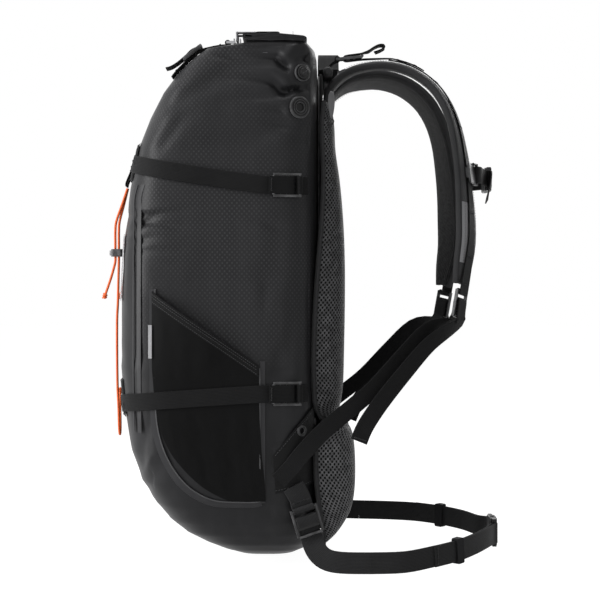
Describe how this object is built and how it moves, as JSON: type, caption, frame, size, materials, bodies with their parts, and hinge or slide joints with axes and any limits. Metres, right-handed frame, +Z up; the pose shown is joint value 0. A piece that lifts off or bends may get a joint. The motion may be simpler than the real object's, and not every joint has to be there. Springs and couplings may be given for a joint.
{
  "type": "ski touring backpack",
  "caption": "Roll-top mountain backpack with welded bag, stretch side pockets, side straps on ladder locks, mesh back pads, shoulder straps, sternum strap and webbing hip belt.",
  "frame": {"origin": "the point in the haul loop that a hook bears on, in the pack's middle plane", "axes": "+X from the bag towards the wearer's chest, +Y to the wearer's left, +Z up"},
  "size_m": [0.4833, 0.3486, 0.6254],
  "materials": {
    "coated_fabric": "waterproof coated ripstop",
    "stiffener": "satin sheet",
    "hook_metal": "dark anodised",
    "stays": "satin",
    "orange_cord": "braided elastic",
    "grey_plastic": "moulded",
    "black_plastic": "moulded, low gloss",
    "grey_trim": "smooth trim tape",
    "stretch_fabric": "knitted stretch",
    "air_mesh": "spacer mesh over foam",
    "pad_fabric": "woven over foam",
    "black_fabric": "woven",
    "webbing": "flat woven webbing"
  },
  "bodies": {
    "pack": {"bag_shell": "coated_fabric", "closure_hooks": "hook_metal", "closure_straps": "webbing", "front_anchors": "webbing", "reflective_strip": "grey_trim", "tool_cord_right": "orange_cord", "tool_cord_left": "orange_cord", "side_strap_upper_right": "webbing", "side_strap_upper_left": "webbing", "side_strap_lower_right": "webbing", "side_strap_lower_left": "webbing", "side_pocket_right": "stretch_fabric", "side_pocket_left": "stretch_fabric", "pocket_tag": "grey_trim", "frame_sheet": "stiffener", "frame_stays": "stays", "back_panel": "black_fabric", "yoke": "webbing", "haul_loop": "webbing", "upper_pads": "air_mesh", "lumbar_pads": "air_mesh", "shoulder_pad_right": "pad_fabric", "shoulder_pad_left": "pad_fabric", "strap_rails": "webbing", "load_lifter_right": "webbing", "load_lifter_left": "webbing", "shoulder_webbing_right": "webbing", "shoulder_webbing_left": "webbing", "base_wings": "black_fabric", "belt_webbing_right": "webbing", "belt_webbing_left": "webbing", "belt_socket": "black_plastic", "hose_port": "black_plastic", "valve_seat": "black_plastic"},
    "side_lock_upper_right": {"side_lock_upper_right": "black_plastic"},
    "side_lock_upper_left": {"side_lock_upper_left": "black_plastic"},
    "side_lock_lower_right": {"side_lock_lower_right": "black_plastic"},
    "side_lock_lower_left": {"side_lock_lower_left": "black_plastic"},
    "lifter_lock_right": {"lifter_lock_right": "black_plastic"},
    "lifter_lock_left": {"lifter_lock_left": "black_plastic"},
    "shoulder_lock_right": {"shoulder_lock_right": "black_plastic"},
    "shoulder_lock_left": {"shoulder_lock_left": "black_plastic"},
    "belt_lock_right": {"belt_lock_right": "black_plastic"},
    "belt_lock_left": {"belt_lock_left": "black_plastic"},
    "roll": {"roll_fabric": "coated_fabric", "roll_slat": "stiffener", "roll_loops": "hook_metal"},
    "belt_tongue": {"belt_tongue": "black_plastic"},
    "belt_keeper_right": {"belt_keeper_right": "black_plastic"},
    "belt_keeper_left": {"belt_keeper_left": "black_plastic"},
    "sternum": {"sternum_sliders": "black_plastic", "sternum_webbing_right": "webbing", "sternum_webbing_left": "webbing", "sternum_socket": "black_plastic"},
    "sternum_tongue": {"sternum_tongue": "black_plastic"},
    "cord_lock_right": {"cord_lock_right": "black_plastic"},
    "cord_button_right": {"cord_button_right": "grey_plastic"},
    "cord_lock_left": {"cord_lock_left": "black_plastic"},
    "cord_button_left": {"cord_button_left": "grey_plastic"},
    "valve_plug": {"valve_plug": "black_plastic"}
  },
  "joints": [
    {"name": "side_lock_upper_right_tilt", "type": "hinge", "parent": "pack", "child": "side_lock_upper_right", "pos_m": [-0.03544, -0.15775, -0.172], "axis": [0, 0, 1], "range_deg": [0, 30], "deforming": ["side_strap_upper_right"]},
    {"name": "side_lock_upper_left_tilt", "type": "hinge", "parent": "pack", "child": "side_lock_upper_left", "pos_m": [-0.03544, 0.15775, -0.172], "axis": [0, 0, -1], "range_deg": [0, 30], "deforming": ["side_strap_upper_left"]},
    {"name": "side_lock_lower_right_tilt", "type": "hinge", "parent": "pack", "child": "side_lock_lower_right", "pos_m": [-0.03543, -0.15771, -0.409], "axis": [0, 0, 1], "range_deg": [0, 30], "deforming": ["side_strap_lower_right"]},
    {"name": "side_lock_lower_left_tilt", "type": "hinge", "parent": "pack", "child": "side_lock_lower_left", "pos_m": [-0.03543, 0.15771, -0.409], "axis": [0, 0, -1], "range_deg": [0, 30], "deforming": ["side_strap_lower_left"]},
    {"name": "lifter_lock_right_tilt", "type": "hinge", "parent": "pack", "child": "lifter_lock_right", "pos_m": [0.01, -0.058, -0.012], "axis": [0.0099, -0.9951, -0.0985], "range_deg": [0, 25], "deforming": ["load_lifter_right"]},
    {"name": "lifter_lock_left_tilt", "type": "hinge", "parent": "pack", "child": "lifter_lock_left", "pos_m": [0.01, 0.058, -0.012], "axis": [-0.0099, -0.9951, 0.0985], "range_deg": [0, 25], "deforming": ["load_lifter_left"]},
    {"name": "shoulder_lock_right_tilt", "type": "hinge", "parent": "pack", "child": "shoulder_lock_right", "pos_m": [0.15595, -0.09604, -0.29325], "axis": [-0.5403, -0.8265, 0.1578], "range_deg": [0, 25], "deforming": ["shoulder_webbing_right"]},
    {"name": "shoulder_lock_left_tilt", "type": "hinge", "parent": "pack", "child": "shoulder_lock_left", "pos_m": [0.15595, 0.09604, -0.29325], "axis": [0.5403, -0.8265, -0.1578], "range_deg": [0, 25], "deforming": ["shoulder_webbing_left"]},
    {"name": "belt_lock_right_tilt", "type": "hinge", "parent": "pack", "child": "belt_lock_right", "pos_m": [-0.031, -0.153, -0.541], "axis": [-0.9353, -0.2016, -0.2907], "range_deg": [0, 25], "deforming": ["belt_webbing_right"]},
    {"name": "belt_lock_left_tilt", "type": "hinge", "parent": "pack", "child": "belt_lock_left", "pos_m": [-0.031, 0.153, -0.541], "axis": [0.9353, -0.2016, 0.2907], "range_deg": [0, 25], "deforming": ["belt_webbing_left"]},
    {"name": "roll_top_open", "type": "hinge", "parent": "pack", "child": "roll", "pos_m": [-0.0261, 0, -0.0055], "axis": [0, 1, 0], "range_deg": [0, 85]},
    {"name": "belt_release", "type": "slide", "parent": "pack", "child": "belt_tongue", "axis": [0, -1, 0], "range_m": [0, 0.04], "deforming": ["belt_webbing_right"]},
    {"name": "belt_keeper_right_slide", "type": "slide", "parent": "pack", "child": "belt_keeper_right", "axis": [0.705, 0.705, 0.0769], "range_m": [-0.006, 0.006]},
    {"name": "belt_keeper_left_slide", "type": "slide", "parent": "pack", "child": "belt_keeper_left", "axis": [0.7069, -0.7069, -0.0257], "range_m": [-0.006, 0.006]},
    {"name": "sternum_height", "type": "slide", "parent": "pack", "child": "sternum", "axis": [-0.1032, 0, 0.9947], "range_m": [-0.01, 0.01]},
    {"name": "sternum_release", "type": "slide", "parent": "sternum", "child": "sternum_tongue", "axis": [0, -1, 0], "range_m": [0, 0.022], "deforming": ["sternum_webbing_right"]},
    {"name": "cord_lock_right_slide", "type": "slide", "parent": "pack", "child": "cord_lock_right", "axis": [0, 0, 1], "range_m": [-0.004, 0.016]},
    {"name": "cord_button_right_press", "type": "slide", "parent": "cord_lock_right", "child": "cord_button_right", "axis": [1, 0, 0], "range_m": [0, 0.0009], "stiffness_N_per_m": 800, "springref_m": -0.001},
    {"name": "cord_lock_left_slide", "type": "slide", "parent": "pack", "child": "cord_lock_left", "axis": [0, 0, 1], "range_m": [-0.004, 0.016]},
    {"name": "cord_button_left_press", "type": "slide", "parent": "cord_lock_left", "child": "cord_button_left", "axis": [1, 0, 0], "range_m": [0, 0.0009], "stiffness_N_per_m": 800, "springref_m": -0.001},
    {"name": "valve_plug_pull", "type": "slide", "parent": "pack", "child": "valve_plug", "axis": [0.4749, -0.8801, 0], "range_m": [0, 0.012]}
  ]
}
